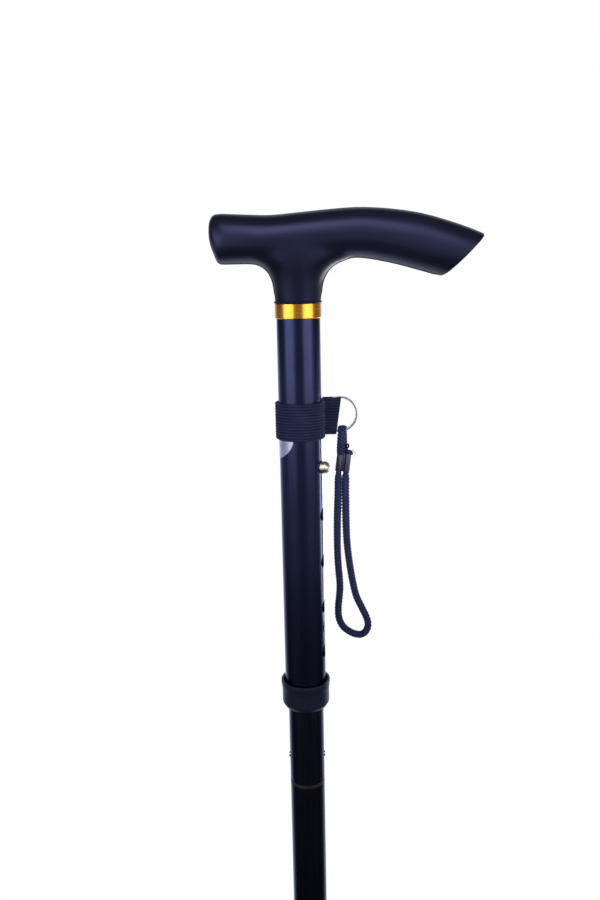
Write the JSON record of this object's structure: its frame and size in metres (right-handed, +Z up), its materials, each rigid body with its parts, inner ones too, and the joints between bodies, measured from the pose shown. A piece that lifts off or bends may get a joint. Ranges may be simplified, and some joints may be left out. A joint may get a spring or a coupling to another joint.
{
  "type": "folding cane",
  "caption": "Black folding cane with a T handle, a push-button height adjuster, an elastic wrist strap and cord-strung folding sections.",
  "frame": {"origin": "middle of the rubber tip's foot, on the floor", "axes": "+Z up the shaft, +X towards the handle's palm end, +Y away from the viewer of the picture"},
  "size_m": [0.1355, 0.0305, 0.8351],
  "materials": {
    "handle": "matte",
    "screw_steel": "satin",
    "inner_plastic": "matte",
    "gold": "anodised gold",
    "black_tube": "satin black",
    "foil": "foil",
    "collar_plastic": "satin",
    "elastic": "ribbed elastic",
    "ring_steel": "polished",
    "cord": "braided",
    "crimp": "satin",
    "white_nylon": "matte",
    "button_metal": "nickelled brass",
    "spring_steel": "bright",
    "elastic_cord": "braided over rubber",
    "tip_rubber": "matte"
  },
  "bodies": {
    "upper": {"handle": "handle", "handle_screw": "screw_steel", "tube_plug": "inner_plastic", "gold_collar": "gold", "outer_tube": "black_tube", "foil_sticker": "foil", "lock_bush": "inner_plastic"},
    "lock_collar": {"lock_collar": "collar_plastic"},
    "band": {"elastic_band": "elastic"},
    "ring": {"split_ring": "ring_steel"},
    "strap": {"wrist_cord": "cord", "cord_crimp": "crimp"},
    "inner": {"inner_tube": "black_tube", "guide_bush": "white_nylon", "button_spring": "spring_steel", "upper_cord_pin": "spring_steel", "inner_cord": "elastic_cord", "joint_plug_1": "inner_plastic", "plug_rivets_1": "spring_steel"},
    "button": {"snap_button": "button_metal"},
    "link_1": {"cord_link_1": "elastic_cord"},
    "section_2": {"tube_2": "black_tube", "joint_plug_2": "inner_plastic", "plug_rivets_2": "spring_steel", "elastic_cord_2": "elastic_cord"},
    "link_2": {"cord_link_2": "elastic_cord"},
    "section_3": {"tube_3": "black_tube", "joint_plug_3": "inner_plastic", "plug_rivets_3": "spring_steel", "elastic_cord_3": "elastic_cord"},
    "link_3": {"cord_link_3": "elastic_cord"},
    "section_4": {"tube_4": "black_tube", "elastic_cord_4": "elastic_cord", "lower_cord_pin": "spring_steel", "tip_washer": "spring_steel", "rubber_tip": "tip_rubber"}
  },
  "joints": [
    {"name": "height_slide", "type": "slide", "parent": "upper", "child": "inner", "axis": [0, 0, -1], "range_m": [0, 0.1016], "deforming": ["snap_button", "button_spring"]},
    {"name": "button_press", "type": "slide", "parent": "inner", "child": "button", "axis": [-0.9703, 0.2419, 0], "range_m": [0, 0.0055], "stiffness_N_per_m": 1500, "springref_m": -0.002},
    {"name": "collar_turn", "type": "hinge", "parent": "upper", "child": "lock_collar", "pos_m": [0, 0, 0.5725], "axis": [0, 0, 1], "range_deg": [0, 180]},
    {"name": "band_slide", "type": "slide", "parent": "upper", "child": "band", "axis": [0, 0, 1], "range_m": [-0.008, 0.035]},
    {"name": "ring_turn", "type": "hinge", "parent": "band", "child": "ring", "pos_m": [0.0206, 0.0106, 0.7311], "axis": [0, 1, 0], "continuous": true},
    {"name": "strap_swing", "type": "hinge", "parent": "band", "child": "strap", "pos_m": [0.022, 0.0106, 0.72231], "axis": [1, 0, 0], "range_deg": [-50, 50]},
    {"name": "pull_1", "type": "slide", "parent": "inner", "child": "link_1", "axis": [0, 0, -1], "range_m": [0, 0.04], "stiffness_N_per_m": 500, "springref_m": -0.06},
    {"name": "fold_1", "type": "hinge", "parent": "link_1", "child": "section_2", "pos_m": [0, 0.0145, 0.525], "axis": [1, 0, 0], "range_deg": [0, 180]},
    {"name": "pull_2", "type": "slide", "parent": "section_2", "child": "link_2", "axis": [0, 0, -1], "range_m": [0, 0.04], "stiffness_N_per_m": 500, "springref_m": -0.06},
    {"name": "fold_2", "type": "hinge", "parent": "link_2", "child": "section_3", "pos_m": [-0.0145, 0, 0.35], "axis": [0, 1, 0], "range_deg": [0, 180]},
    {"name": "pull_3", "type": "slide", "parent": "section_3", "child": "link_3", "axis": [0, 0, -1], "range_m": [0, 0.04], "stiffness_N_per_m": 500, "springref_m": -0.06},
    {"name": "fold_3", "type": "hinge", "parent": "link_3", "child": "section_4", "pos_m": [0, 0.0145, 0.175], "axis": [1, 0, 0], "range_deg": [0, 180]}
  ],
  "couplings": [
    {"joint": "fold_1", "follows": "pull_1", "rad_per_m": 78.54},
    {"joint": "fold_2", "follows": "pull_2", "rad_per_m": 78.54},
    {"joint": "fold_3", "follows": "pull_3", "rad_per_m": 78.54}
  ]
}
